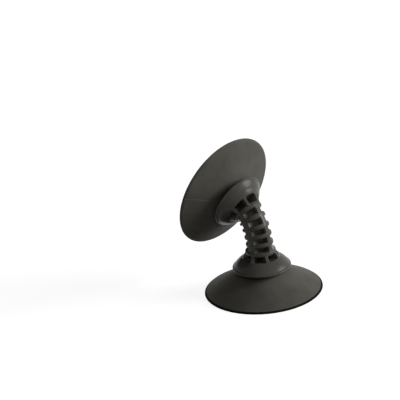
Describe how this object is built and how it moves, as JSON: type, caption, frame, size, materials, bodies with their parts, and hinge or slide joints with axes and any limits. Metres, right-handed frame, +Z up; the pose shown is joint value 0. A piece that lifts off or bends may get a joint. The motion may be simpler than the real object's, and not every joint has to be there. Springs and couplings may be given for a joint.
{
  "type": "suction cup phone holder",
  "caption": "Bendable phone holder: a ribbed rubber neck with a flared collar at each end joins two suction cups, one on the table and one on the phone's back.",
  "frame": {"origin": "centre of the lower cup's rim, on the surface that it stands on", "axes": "+Z up, -Y towards the phone, +X to the right of someone who looks along +Y at the screen"},
  "size_m": [0.0408, 0.0428, 0.0522],
  "materials": {
    "cup_rubber": "satin",
    "neck_rubber": "satin",
    "soft_wire": "satin"
  },
  "bodies": {
    "base": {"lower_cup": "cup_rubber"},
    "neck": {"neck": "neck_rubber", "core_wire": "soft_wire"},
    "head": {"upper_cup": "cup_rubber"}
  },
  "joints": [
    {"name": "neck_sway", "type": "hinge", "parent": "base", "child": "neck", "pos_m": [0, 0, 0.01871], "axis": [0, 1, 0], "range_deg": [-40, 40], "deforming": ["neck", "core_wire"]},
    {"name": "head_tilt", "type": "hinge", "parent": "neck", "child": "head", "pos_m": [0, -0.00283, 0.02716], "axis": [1, 0, 0], "range_deg": [-71, 18], "deforming": ["neck", "core_wire"]}
  ]
}
